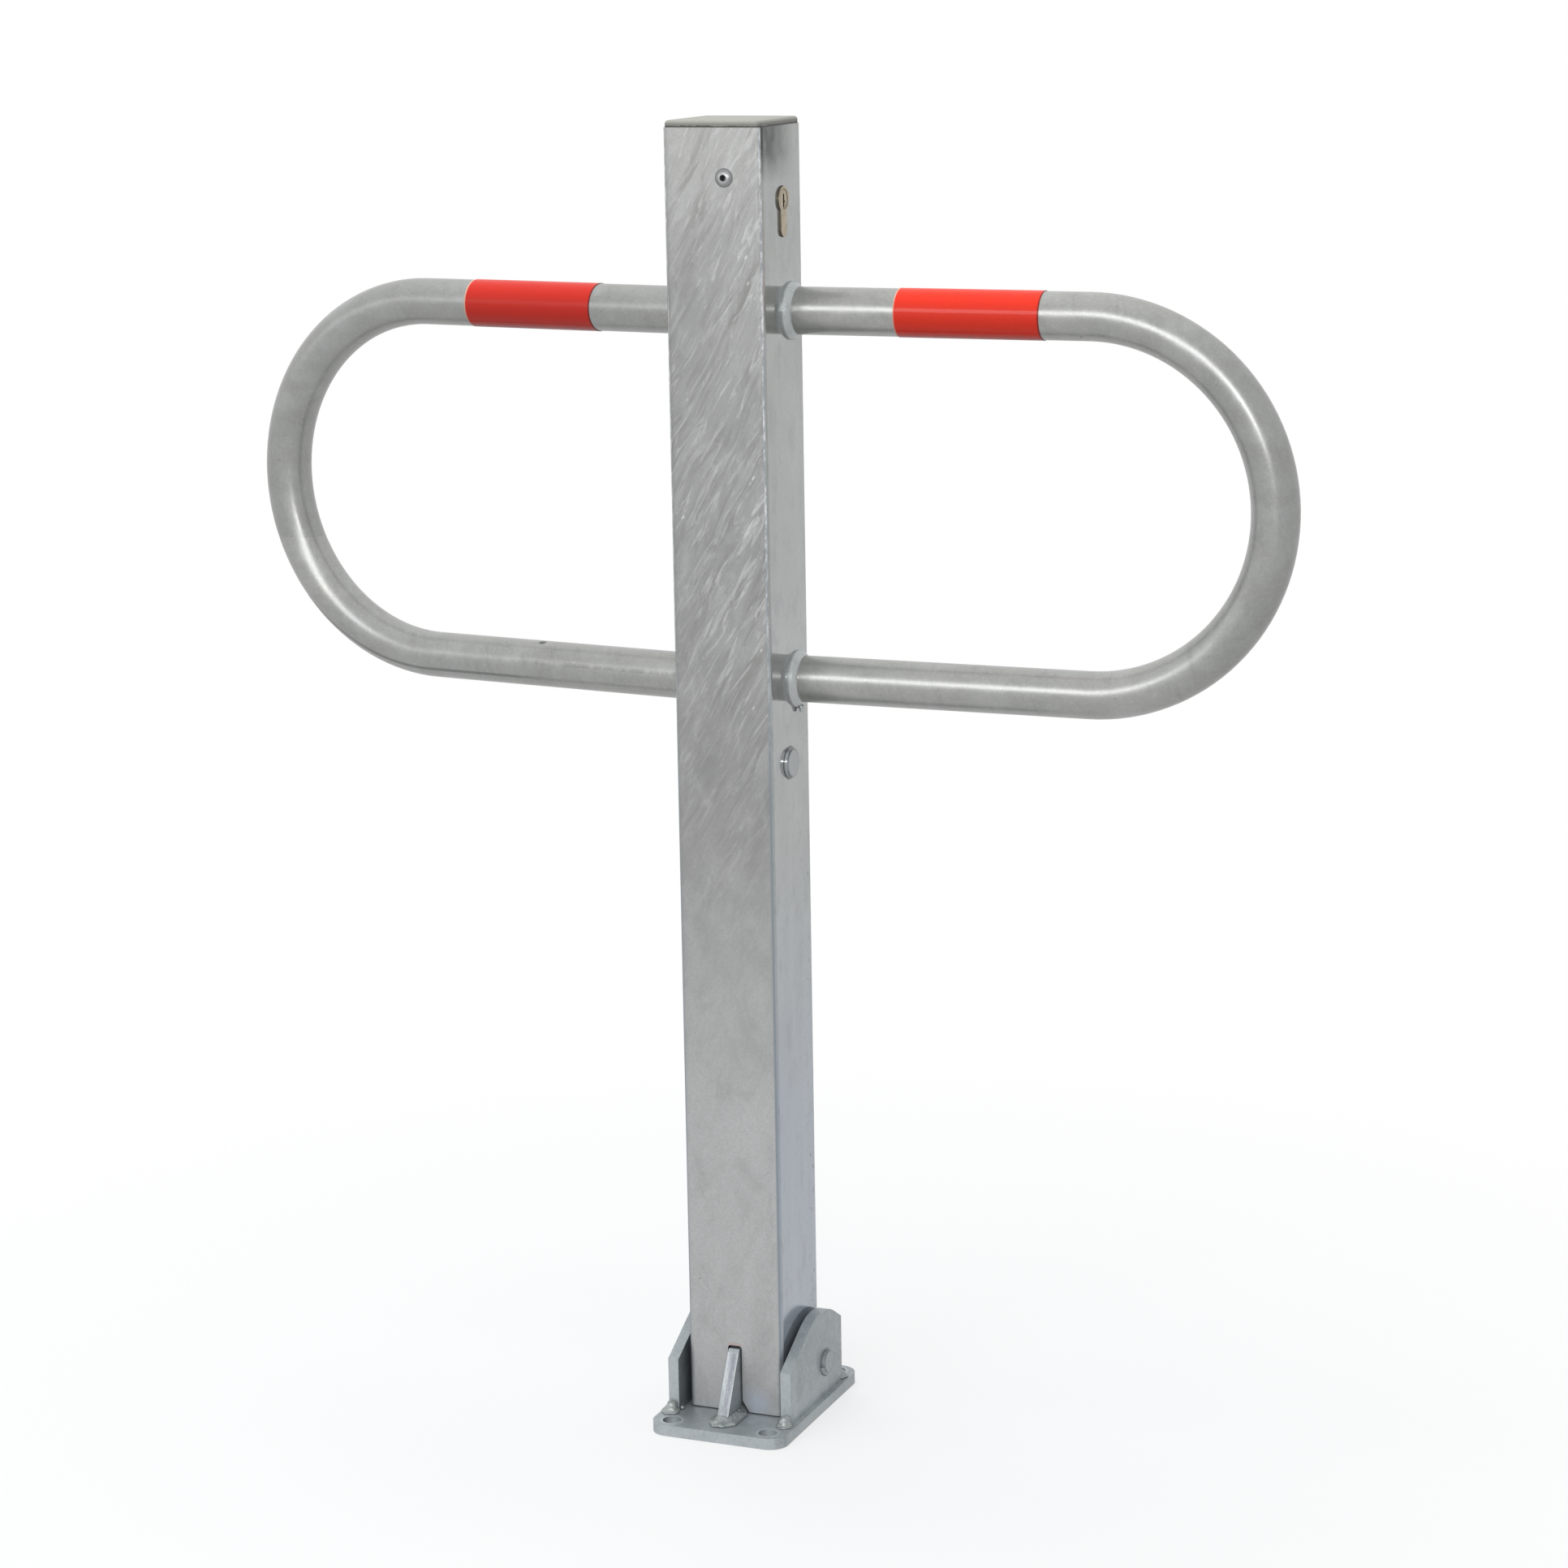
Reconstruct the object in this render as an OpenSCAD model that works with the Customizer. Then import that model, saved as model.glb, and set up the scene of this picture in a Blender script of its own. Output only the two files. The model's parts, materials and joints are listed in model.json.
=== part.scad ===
// Folding parking barrier: a square steel post with two tube loops that folds back
// on a hinge pin between two cheeks and is locked upright by a profile half cylinder.
// The origin is the centre of the base plate's underside, the key side faces +X,
// the front face looks to -Y, and the post folds back towards +Y.

/* [Base plate] */
// Width of the base plate, left to right
plate_w = 100; // [96:1:160]
// Depth of the base plate, front to back
plate_d = 150; // [144:1:220]
// Thickness of the base plate
plate_t = 8; // [5:0.5:12]
// Radius of the base plate's corners
plate_corner_r = 13; // [3:1:13]
// Diameter of the four anchor holes
anchor_hole_d = 13; // [9:0.5:14]
// Distance from an anchor hole's centre to the side edge of the plate
anchor_edge_x = 14; // [11:0.5:17]
// Distance from an anchor hole's centre to the front or rear edge of the plate
anchor_edge_y = 11; // [9:0.5:14]

/* [Post] */
// Outer width of the square tube
post_w = 70; // [60:1:80]
// Wall thickness of the square tube
post_wall = 3; // [2:0.5:4]
// Outer corner radius of the square tube
post_corner_r = 4.5; // [4.5:0.5:8]
// Length of the square tube
post_len = 883; // [780:1:1000]
// Gap between the base plate and the lower end of the post
post_gap = 1; // [0.5:0.5:3]

/* [Hinge] */
// Diameter of the hinge pin
pin_d = 16; // [12:0.5:18]
// Distance of the hinge pin behind the middle of the post
pin_back = 19.5; // [16:0.5:20]
// Height of the hinge pin over the base plate
pin_rise = 24; // [22:0.5:30]
// Length of pin that shows outside each cheek
pin_proud = 3; // [1:0.5:6]
// Wall thickness of the sleeve that turns on the pin
sleeve_wall = 3; // [2:0.5:4]
// Radial clearance of the pin in its sleeve
pin_play = 0.05; // [0.02:0.01:0.1]
// Thickness of each washer between the post and a cheek
washer_t = 3; // [1.5:0.5:5]
// Clearance on each side of a washer
washer_play = 0.2; // [0.1:0.05:0.5]

/* [Cheeks] */
// Thickness of the cheek plates
cheek_t = 7.6; // [5:0.2:9]
// Distance from the middle of the post to the front edge of a cheek
cheek_front = 46; // [42:0.2:50]
// Distance from the middle of the post to the rear edge of a cheek
cheek_rear = 49.5; // [42:0.5:52]
// Height of a cheek's front edge over the base plate
cheek_front_h = 37.4; // [30:0.2:46]
// Height of a cheek's rear edge over the base plate
cheek_rear_h = 47.6; // [36:0.2:54]
// Height of a cheek's rounded crown over the base plate
cheek_crown_h = 62.6; // [58:0.2:76]
// Radius of the crown
cheek_crown_r = 46; // [12:1:56]
// Distance of the crown's centre behind the middle of the post
cheek_crown_back = 12; // [0:0.5:14]

/* [Catch plate] */
// Thickness of the catch plate
catch_t = 8; // [6:0.5:9]
// Distance from the middle of the post to the catch plate's front foot
catch_front = 60; // [54:0.5:62]
// Height of the catch plate's nose over the base plate
catch_nose_h = 46.6; // [38:0.2:50]
// Height of the low rear part of the catch plate over the base plate
catch_low_h = 15; // [10:0.5:16]
// Clearance between the catch plate and the slot in the front wall
slot_play = 1.2; // [0.6:0.1:2.5]
// Width that the slot gains on each side where it opens over the weld
slot_flare = 5; // [3:0.5:8]
// Height of the flared part of the slot
slot_flare_h = 8; // [6:0.5:12]

/* [Loops] */
// Outer diameter of the loop tubes
tube_d = 31.8; // [25:0.1:36]
// Wall thickness of the loop tubes
tube_wall = 2; // [1:0.5:3]
// Distance from the post's upper end down to the middle of the loops
loop_drop = 246.5; // [190:0.5:300]
// Distance of the left loop's root behind the middle of the post
left_loop_back = 0; // [0:0.5:14]
// Distance of the right loop's root behind the middle of the post
right_loop_back = 14; // [0:0.5:14]
// Bend radius of the loops at the tube's axis
loop_r = 124.3; // [80:0.1:140]
// Straight length of the loops between the post and the bend
loop_straight = 207; // [120:1:260]
// Angle by which the left loop is swept back
left_sweep_angle = 6.5; // [0:0.5:8]
// Angle by which the right loop is swept back
right_sweep_angle = 0.5; // [0:0.5:8]
// Height of the weld rings over the tubes
ring_leg = 3.6; // [2.5:0.1:4.5]
// Length that the weld rings cover along the tubes
ring_reach = 5.6; // [3:0.1:8]

/* [Bands] */
// Length of each reflective band
band_len = 100; // [60:1:115]
// Thickness of the reflective film
band_t = 0.3; // [0.2:0.1:0.6]
// Thickness of the adhesive under the film
band_glue = 0.05; // [0.02:0.01:0.1]
// Distance from the post to the left band
left_band_at = 67; // [50:1:90]
// Distance from the post to the right band
right_band_at = 77; // [50:1:90]

/* [Cap] */
// Thickness of the cap's lid over the tube
cap_t = 4.6; // [3:0.2:8]
// Rounding of the lid's upper edges
cap_edge_r = 2.5; // [1:0.25:2.5]
// Distance that the lid stays within the tube's outline
cap_inset = 0.8; // [0:0.1:1.5]
// Depth of the cap's skirt inside the tube
cap_skirt_h = 16; // [10:1:22]
// Wall thickness of the skirt
cap_skirt_t = 2.5; // [1.5:0.5:4]
// Clearance of the skirt inside the tube
cap_play = 0.2; // [0.1:0.05:0.5]

/* [Lock cylinder] */
// Distance from the post's upper end down to the lock cylinder's axis
lock_drop = 48; // [46:0.5:100]
// Overall height of the cylinder profile
profile_h = 33; // [32:0.5:34]
// Diameter of the round part of the profile
profile_d = 17; // [16:0.5:18]
// Width of the web below the round part
profile_web = 10; // [9:0.5:11]
// Gap round the cylinder in the side wall
profile_play = 0.4; // [0.2:0.1:0.8]
// Length of the cylinder from its face to the middle of the cam
cylinder_front = 30; // [28:0.5:32]
// Length of the cylinder behind the middle of the cam
cylinder_back = 10; // [9:0.5:12]
// Length of cylinder that stands out of the side wall
cylinder_proud = 1.4; // [0:0.1:2]
// Width of the gap for the cam
cam_gap = 10; // [9:0.5:11]
// Diameter of the plug that the key turns
plug_d = 13; // [12:0.1:13.5]
// Diameter of the plug's tail, which carries the cam
tail_d = 8; // [6:0.5:9]
// Radial clearance of the turning parts in the cylinder
plug_play = 0.05; // [0.02:0.01:0.1]
// Outer radius of the cam's ring
cam_ring_r = 7.4; // [6:0.1:7.8]
// Radius from the lock axis to the middle of the cam's tip
cam_reach = 9.9; // [9:0.1:10.2]
// Radius of the cam's tip
cam_tip_r = 3.3; // [2.5:0.1:3.5]
// Diameter of the fixing screw
screw_d = 5; // [4:0.5:6]
// Diameter of the fixing screw's head
screw_head_d = 9; // [8:0.5:11]

/* [Lock rod] */
// Thickness of the flat lock rod
rod_t = 6; // [4:0.5:7]
// Width of the flat lock rod
rod_w = 24; // [20:0.5:25]
// Clearance of the cam's tip in the rod's fork
fork_play = 0.8; // [0.7:0.1:1]
// Width of the bolt foot, across the catch plate
foot_w = 24; // [18:1:32]
// Depth of the bolt foot, front to back
foot_d = 11; // [8:0.5:12]
// Height of the bolt foot
foot_h = 36; // [30:1:44]
// Clearance between the bolt foot and the catch plate's rear edge
foot_play = 0.6; // [0.4:0.1:1.2]
// Height of the raised bolt foot over the catch plate
foot_lift = 3; // [2:0.5:5]
// Diameter of the spring pin through foot and rod
foot_pin_d = 4; // [3:0.5:5]
// Distance from the loops' lower bars down to the headed guide pin
guide_drop = 55; // [40:0.5:160]
// Shank diameter of the headed guide pin
guide_d = 10; // [8:0.5:12]
// Head diameter of the guide pin
guide_head_d = 20.5; // [16:0.5:24]
// Thickness of the guide pin's head
guide_head_t = 3; // [2:0.5:4]
// Clearance of the rod on its guides
guide_play = 0.3; // [0.2:0.05:0.5]
// Thickness of the guide plate welded inside the post
guide_plate_t = 6; // [4:0.5:8]

/* [Lock carrier] */
// Sheet thickness of the carrier that holds the cylinder
carrier_t = 2.5; // [1.5:0.5:3]
// Height of the carrier
carrier_h = 62; // [54:1:66]
// Head diameter of the blind rivet
rivet_head_d = 12.6; // [9:0.1:15]
// Height of the blind rivet's domed head
rivet_head_h = 2.4; // [1.5:0.1:3]
// Shank diameter of the blind rivet
rivet_d = 6.4; // [4:0.1:8]
// Diameter of the hole that the pulled mandrel leaves in the rivet
rivet_bore_d = 4.2; // [2:0.1:4.4]
// Distance of the blind rivet from the middle of the post
rivet_x = 8.8; // [0:0.1:10]
// Height of the blind rivet over the lock axis
rivet_up = 15.7; // [14:0.1:18]

/* [Hidden] */

$fn = 64;
steel = "#a3a9a9";
base_steel = "#8f9795";
weld_steel = "#b3b8b8";
film_red = "#e0432c";
cap_beige = "#b5b2a6";
lock_nickel = "#c2b89c";
// Length added where a cut runs past a face
over = 1;

half_w = post_w / 2;
inner_w = post_w - 2 * post_wall;
post_z = plate_t + post_gap;
top_z = post_z + post_len;
lock_z = top_z - lock_drop;
loop_mid_z = top_z - loop_drop;
loop_low_z = loop_mid_z - loop_r;
guide_z = loop_low_z - guide_drop;
pin_y = pin_back;
pin_z = plate_t + pin_rise;
cheek_x = half_w + washer_t + 2 * washer_play;
cheek_out = cheek_x + cheek_t;
anchor_x = plate_w / 2 - anchor_edge_x;
anchor_y = plate_d / 2 - anchor_edge_y;
sleeve_d = pin_d + 2 * pin_play + 2 * sleeve_wall;

// Clearance between the swinging rear corner of the post and the base plate
swing_gap = 1.5;
swing_r = pin_rise - swing_gap;

// The bolt foot hangs under the rod and drops behind the catch plate's rear edge
rod_y = -2.5;
foot_y = rod_y - 1.5;
catch_low_z = plate_t + catch_low_h;
foot_z = catch_low_z + foot_lift;
foot_seat = 10;
rod_end_z = foot_z + foot_h - foot_seat;
catch_rear = foot_y - foot_d / 2 - foot_play;

// Slot in the front wall for the catch plate
slot_half = catch_t / 2 + slot_play;
slot_top_gap = 2;
slot_z = plate_t + catch_nose_h + slot_top_gap;
slot_corner_r = 2;

// The cam sits in the middle of the gap and drives the fork at the rod's head
cam_x = half_w + cylinder_proud - cylinder_front;
cylinder_face_x = half_w + cylinder_proud;
cylinder_end_x = cam_x - cylinder_back;
cam_side_gap = 0.3;
bridge_h = 9;
cam_angle = 45;
web_r = profile_web / 2;
web_low = lock_z + profile_d / 2 - profile_h;
bridge_top = web_low + bridge_h;
screw_z = (web_low + bridge_top) / 2;
screw_head_h = 3;
rod_travel = 2 * cam_reach * sin(cam_angle);
fork_z = lock_z + rod_travel / 2;
fork_half = cam_tip_r + fork_play;
fork_gap = 0.5;
fork_floor_gap = 1.2;
fork_wall = 7.5;
fork_mouth_y = -cam_ring_r - fork_gap;
fork_floor_y = -cam_reach - cam_tip_r - fork_floor_gap;
rod_back_y = fork_floor_y - fork_wall;
fork_jaw = 9;
bar_top_z = web_low - 3.5;
rod_x = cam_x;

// The carrier stands clear of the cylinder's end and of the cam's gap
carrier_clear = 2;
carrier_below = 34;
carrier_z = lock_z - carrier_below;
carrier_left_x = cylinder_end_x - carrier_clear - carrier_t;
carrier_right_x = cam_x + cylinder_front / 2;
carrier_back_y = 12;
rivet_z = lock_z + rivet_up;
guide_plate_z = foot_z + foot_h + 6;

// Square with round corners, centred
module round_square(w, r) {
    square([w, w - 2 * r], center = true);
    square([w - 2 * r, w], center = true);
    for (x = [-1, 1], y = [-1, 1])
        translate([x * (w / 2 - r), y * (w / 2 - r)]) circle(r);
}

// Turns a front-to-back and upward outline into a plate of thickness t, standing in x
module side_plate(t) {
    rotate([90, 0, 90]) linear_extrude(t, center = true) children();
}

// Cylinder along x between two places, at y and z
module x_rod(x0, x1, y, z, d) {
    translate([x0, y, z]) rotate([0, 90, 0]) cylinder(d = d, h = x1 - x0);
}

// Direction from c to where a line from p touches a circle of radius r round c
function touch_angle(p, c, r, side) =
    let (v = p - c) atan2(v[1], v[0]) + side * acos(min(1, r / norm(v)));

module base_plate() {
    color(base_steel) difference() {
        linear_extrude(plate_t) {
            square([plate_w, plate_d - 2 * plate_corner_r], center = true);
            square([plate_w - 2 * plate_corner_r, plate_d], center = true);
            for (x = [-1, 1], y = [-1, 1])
                translate([x * (plate_w / 2 - plate_corner_r), y * (plate_d / 2 - plate_corner_r)])
                    circle(plate_corner_r);
        }
        for (x = [-1, 1], y = [-1, 1])
            translate([x * anchor_x, y * anchor_y, -over])
                cylinder(d = anchor_hole_d, h = plate_t + 2 * over);
    }
}

// Outline of a cheek: y to the right, height over the ground upward
module cheek_outline() {
    crown = [cheek_crown_back, plate_t + cheek_crown_h - cheek_crown_r];
    front_top = [-cheek_front, plate_t + cheek_front_h];
    rear_top = [cheek_rear, plate_t + cheek_rear_h];
    from = (touch_angle(front_top, crown, cheek_crown_r, -1) + 360) % 360;
    to = touch_angle(rear_top, crown, cheek_crown_r, 1);
    steps = 16;
    intersection() {
        polygon(concat(
            [[-cheek_front, plate_t], front_top],
            [for (i = [0:steps]) let (a = from + (to - from) * i / steps) crown + cheek_crown_r * [cos(a), sin(a)]],
            [rear_top, [cheek_rear, plate_t]]
        ));
        translate([-cheek_front, plate_t]) square([cheek_front + cheek_rear, cheek_crown_h]);
    }
}

module cheek(side) {
    color(base_steel) difference() {
        translate([side * (cheek_x + cheek_t / 2), 0, 0]) side_plate(cheek_t) cheek_outline();
        x_rod(-plate_w, plate_w, pin_y, pin_z, pin_d);
    }
}

module catch_outline() {
    nose_y = half_w + 1;
    nose_rear = half_w - post_wall - 2;
    polygon([
        [-catch_front, plate_t],
        [-catch_front, plate_t + 2],
        [-nose_y - 2, plate_t + catch_nose_h - 2],
        [-nose_y, plate_t + catch_nose_h],
        [-nose_rear - 2, plate_t + catch_nose_h],
        [-nose_rear, plate_t + catch_nose_h - 2],
        [-nose_rear + 9, catch_low_z],
        [catch_rear, catch_low_z],
        [catch_rear, plate_t]
    ]);
}

module catch_plate() {
    color(steel) side_plate(catch_t) catch_outline();
}

// Weld lump at one end of a cheek's foot, spread over the plate by foot_r
module cheek_pad(side, y, out, foot_r, lean) {
    foot_t = 1;
    lump_r = 3.8;
    translate([side * (cheek_x + cheek_t / 2 + lean), y + out * 4, plate_t]) {
        cylinder(r = foot_r, h = foot_t);
        translate([0, -out, foot_t]) cylinder(r1 = foot_r - 0.8, r2 = lump_r, h = 3.2);
        translate([0, -2 * out, 4]) sphere(lump_r);
    }
}

module cheek_welds() {
    inner_bead_r = 2.6;
    color(weld_steel) difference() {
        union() {
            cheek_pad(1, -cheek_front, -1, 5.8, 0);
            cheek_pad(-1, -cheek_front, -1, 6.6, 0.8);
            for (side = [-1, 1]) {
                cheek_pad(side, cheek_rear, 1, 6.2, 0.4);
                translate([side * cheek_x, -cheek_front + 4, plate_t]) sphere(inner_bead_r);
            }
        }
        translate([-plate_w, -plate_d, plate_t - 2 * plate_w]) cube([2 * plate_w, 2 * plate_d, 2 * plate_w]);
        for (side = [-1, 1])
            translate([side * (cheek_x + cheek_t / 2), 0, 0]) side_plate(cheek_t)
                translate([-cheek_front, 0]) square([cheek_front + cheek_rear, 2 * plate_t + cheek_front_h]);
    }
}

// Flat patch of the weld's outline at height z, from the front corners back to y = back
module weld_patch(half, front, shoulder, back, z, t) {
    translate([0, 0, z]) linear_extrude(t) polygon([
        [-half, back],
        [-half, shoulder],
        [-catch_t / 2, front],
        [catch_t / 2, front + 1],
        [half, shoulder],
        [half, back]
    ]);
}

// Fillet weld round the catch plate's front foot and along both of its sides
module catch_weld() {
    leg = 6.3;
    leg_rear = 5;
    toe = 7.6;
    foot_t = 1.3;
    rise = 5;
    front_back = -half_w - 4;
    color(weld_steel) difference() {
        union() {
            hull() {
                weld_patch(catch_t / 2 + leg, -catch_front - toe, -catch_front, front_back, plate_t, foot_t);
                weld_patch(catch_t / 2 + 0.5, -catch_front, -catch_front + 1, front_back, plate_t + rise, 0.3);
            }
            for (side = [-1, 1])
                translate([0, catch_rear - 2, plate_t]) rotate([90, 0, 0]) linear_extrude(catch_rear - 2 - front_back)
                    polygon([[0, 0], [side * (catch_t / 2 + leg_rear), 0], [0, catch_t / 2 + leg_rear]]);
        }
        side_plate(catch_t) catch_outline();
    }
}

module hinge_pin() {
    color(steel) x_rod(-cheek_out - pin_proud, cheek_out + pin_proud, pin_y, pin_z, pin_d);
}

// Short weld bead at the lower front of each pin end
module pin_tacks() {
    bead_r = 2.4;
    color(weld_steel) difference() {
        for (side = [-1, 1])
            translate([side * cheek_out, pin_y, pin_z]) rotate([0, 90, 0]) rotate([0, 0, -80])
                rotate_extrude(angle = 100) translate([pin_d / 2, 0]) circle(bead_r, $fn = 32);
        cube([2 * cheek_out, plate_d, 4 * pin_z], center = true);
        x_rod(-plate_w, plate_w, pin_y, pin_z, pin_d);
    }
}

module pivot_washers() {
    color(steel) for (side = [-1, 1]) difference() {
        translate([side * (half_w + washer_play + washer_t / 2), pin_y, pin_z]) rotate([0, 90, 0])
            cylinder(d = sleeve_d + 2, h = washer_t, center = true);
        x_rod(-plate_w, plate_w, pin_y, pin_z, pin_d + 2 * pin_play);
    }
}

// Outline of the profile cylinder, grown by play all round; upward is +y of the outline
module profile_outline(play) {
    circle(d = profile_d + 2 * play);
    translate([0, -(profile_h - profile_d / 2 - web_r)]) circle(r = web_r + play);
    translate([-web_r - play, -(profile_h - profile_d / 2 - web_r)])
        square([profile_web + 2 * play, profile_h - profile_d / 2 - web_r]);
}

module slot_outline() {
    flare_z = post_z + slot_flare_h;
    polygon([
        [-slot_half - slot_flare, post_z - over],
        [-slot_half - slot_flare, post_z],
        [-slot_half, flare_z],
        [-slot_half, slot_z - slot_corner_r],
        [-slot_half + slot_corner_r, slot_z],
        [slot_half - slot_corner_r, slot_z],
        [slot_half, slot_z - slot_corner_r],
        [slot_half, flare_z],
        [slot_half + slot_flare, post_z],
        [slot_half + slot_flare, post_z - over]
    ]);
    for (x = [-1, 1])
        translate([x * (slot_half - slot_corner_r), slot_z - slot_corner_r]) circle(slot_corner_r);
}

module post_tube() {
    color(steel) difference() {
        translate([0, 0, post_z]) linear_extrude(post_len) difference() {
            round_square(post_w, post_corner_r);
            round_square(inner_w, post_corner_r - post_wall);
        }
        // Rear lower corner, rounded about the hinge so that it swings clear of the base plate
        difference() {
            translate([-post_w, pin_y, post_z - over]) cube([2 * post_w, post_w, pin_z - post_z + over]);
            x_rod(-post_w, post_w, pin_y, pin_z, 2 * swing_r);
        }
        // Slot for the catch plate in the front wall
        translate([0, -inner_w / 2 + over, 0]) rotate([90, 0, 0]) linear_extrude(post_wall + 2 * over)
            slot_outline();
        // Hole for the sleeve in both side walls
        x_rod(-post_w, post_w, pin_y, pin_z, sleeve_d);
        // Holes for the guide pin
        x_rod(-post_w, post_w, rod_y, guide_z, guide_d);
        // Cut-out for the cylinder in the right side wall
        translate([inner_w / 2 - over, 0, lock_z]) rotate([90, 0, 90]) linear_extrude(post_wall + 2 * over)
            profile_outline(profile_play);
        // Rivet hole in the front wall
        translate([rivet_x, -half_w - over, rivet_z]) rotate([-90, 0, 0])
            cylinder(d = rivet_d, h = post_wall + 2 * over);
        // Screw hole in the rear wall
        translate([cam_x, inner_w / 2 - over, screw_z]) rotate([-90, 0, 0])
            cylinder(d = screw_d, h = post_wall + 2 * over);
    }
}

module top_cap() {
    skirt_w = inner_w - 2 * cap_play;
    lip_r = post_corner_r - post_wall;
    lid_r = post_corner_r - cap_inset;
    color(cap_beige) {
        translate([0, 0, top_z]) hull() for (x = [-1, 1], y = [-1, 1])
            translate([x * (half_w - post_corner_r), y * (half_w - post_corner_r), 0]) {
                cylinder(r = lid_r, h = cap_t - cap_edge_r, $fn = 32);
                translate([0, 0, cap_t - cap_edge_r]) rotate_extrude($fn = 32)
                    translate([lid_r - cap_edge_r, 0]) intersection() {
                        circle(cap_edge_r, $fn = 32);
                        square(cap_edge_r);
                    }
            }
        translate([0, 0, top_z - cap_skirt_h]) linear_extrude(cap_skirt_h) difference() {
            round_square(skirt_w, lip_r);
            round_square(skirt_w - 2 * cap_skirt_t, lip_r / 2);
        }
    }
}

// Frame of a loop: x runs out of the post's side, z is up, at the middle of the loop
module loop_frame(side, sweep) {
    heading = side > 0 ? sweep : 180 - sweep;
    root_y = side > 0 ? right_loop_back : left_loop_back;
    translate([side * half_w, root_y, loop_mid_z]) rotate([0, 0, heading]) children();
}

// One bent bar of diameter d, reaching back past the post's side
module loop_bar(d, back) {
    for (z = [-loop_r, loop_r])
        translate([-back, 0, z]) rotate([0, 90, 0]) cylinder(d = d, h = loop_straight + back);
    translate([loop_straight, 0, 0]) rotate([90, 0, 0]) rotate([0, 0, -90])
        rotate_extrude(angle = 180) translate([loop_r, 0]) circle(d = d);
}

module loop(side, sweep) {
    back = tube_d * sin(sweep) + over;
    color(steel) difference() {
        loop_frame(side, sweep) difference() {
            loop_bar(tube_d, back);
            loop_bar(tube_d - 2 * tube_wall, back + over);
        }
        translate([0, 0, loop_mid_z]) cube([post_w, post_w, 4 * loop_r], center = true);
    }
}

// Weld rings where the loops meet the post's sides
module loop_rings(side, sweep) {
    back = tube_d * sin(sweep) + over;
    difference() {
        loop_frame(side, sweep) for (z = [-loop_r, loop_r])
            translate([0, 0, z]) rotate([0, 90, 0]) rotate_extrude() translate([tube_d / 2, 0]) polygon([
                [-over, -back],
                [ring_leg, -back],
                [ring_leg, 0.2 * ring_reach],
                [0.7 * ring_leg, 0.55 * ring_reach],
                [0.3 * ring_leg, 0.85 * ring_reach],
                [0, ring_reach],
                [-over, ring_reach]
            ]);
        loop_frame(side, sweep) for (z = [-loop_r, loop_r])
            translate([-tube_d, 0, z]) rotate([0, 90, 0]) cylinder(d = tube_d, h = 2 * tube_d);
        translate([0, 0, loop_mid_z]) cube([post_w, post_w, 4 * loop_r], center = true);
    }
}

module loop_welds() {
    drop_r = 2.2;
    color(weld_steel) {
        loop_rings(-1, left_sweep_angle);
        loop_rings(1, right_sweep_angle);
        // Drop of weld metal under the lower right ring
        translate([half_w + drop_r + 0.2, right_loop_back, loop_low_z - tube_d / 2 - ring_leg]) {
            sphere(drop_r);
            translate([0, 0, -1.5 * drop_r]) cylinder(d1 = drop_r, d2 = 1.6 * drop_r, h = 1.5 * drop_r);
        }
    }
}

module band(side, sweep, at) {
    color(film_red) loop_frame(side, sweep) translate([at, 0, loop_r]) rotate([0, 90, 0]) difference() {
        cylinder(d = tube_d + 2 * (band_glue + band_t), h = band_len);
        translate([0, 0, -over]) cylinder(d = tube_d + 2 * band_glue, h = band_len + 2 * over);
    }
}

module pivot_sleeve() {
    color(steel) difference() {
        x_rod(-half_w, half_w, pin_y, pin_z, sleeve_d);
        x_rod(-half_w - over, half_w + over, pin_y, pin_z, pin_d + 2 * pin_play);
    }
}

module guide_pin() {
    bevel = 0.8;
    color(steel) {
        x_rod(-half_w, half_w, rod_y, guide_z, guide_d);
        x_rod(half_w, half_w + guide_head_t - bevel, rod_y, guide_z, guide_head_d);
        translate([half_w + guide_head_t - bevel, rod_y, guide_z]) rotate([0, 90, 0])
            cylinder(d1 = guide_head_d, d2 = guide_head_d - 2 * bevel, h = bevel);
    }
}

// Plate welded across the inside of the post, which keeps the rod upright
module guide_plate() {
    plate_side = inner_w - 2 * cap_play;
    color(steel) translate([0, 0, guide_plate_z]) linear_extrude(guide_plate_t) difference() {
        round_square(plate_side, post_corner_r - post_wall);
        translate([rod_x, rod_y]) square([rod_t + 2 * guide_play, rod_w + 2 * guide_play], center = true);
    }
}

// Folded carrier: a flange on the front wall and two arms, the right one round the cylinder
module lock_carrier() {
    front_y = -inner_w / 2;
    arm_d = carrier_back_y - front_y;
    color(steel) difference() {
        union() {
            translate([carrier_left_x, front_y, carrier_z])
                cube([carrier_right_x + carrier_t - carrier_left_x, carrier_t, carrier_h]);
            for (x = [carrier_left_x, carrier_right_x])
                translate([x, front_y, carrier_z]) cube([carrier_t, arm_d, carrier_h]);
        }
        translate([carrier_right_x - over, 0, lock_z]) rotate([90, 0, 90]) linear_extrude(carrier_t + 2 * over)
            profile_outline(profile_play / 2);
        translate([rivet_x, front_y - over, rivet_z]) rotate([-90, 0, 0])
            cylinder(d = rivet_d, h = carrier_t + 2 * over);
    }
}

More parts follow.
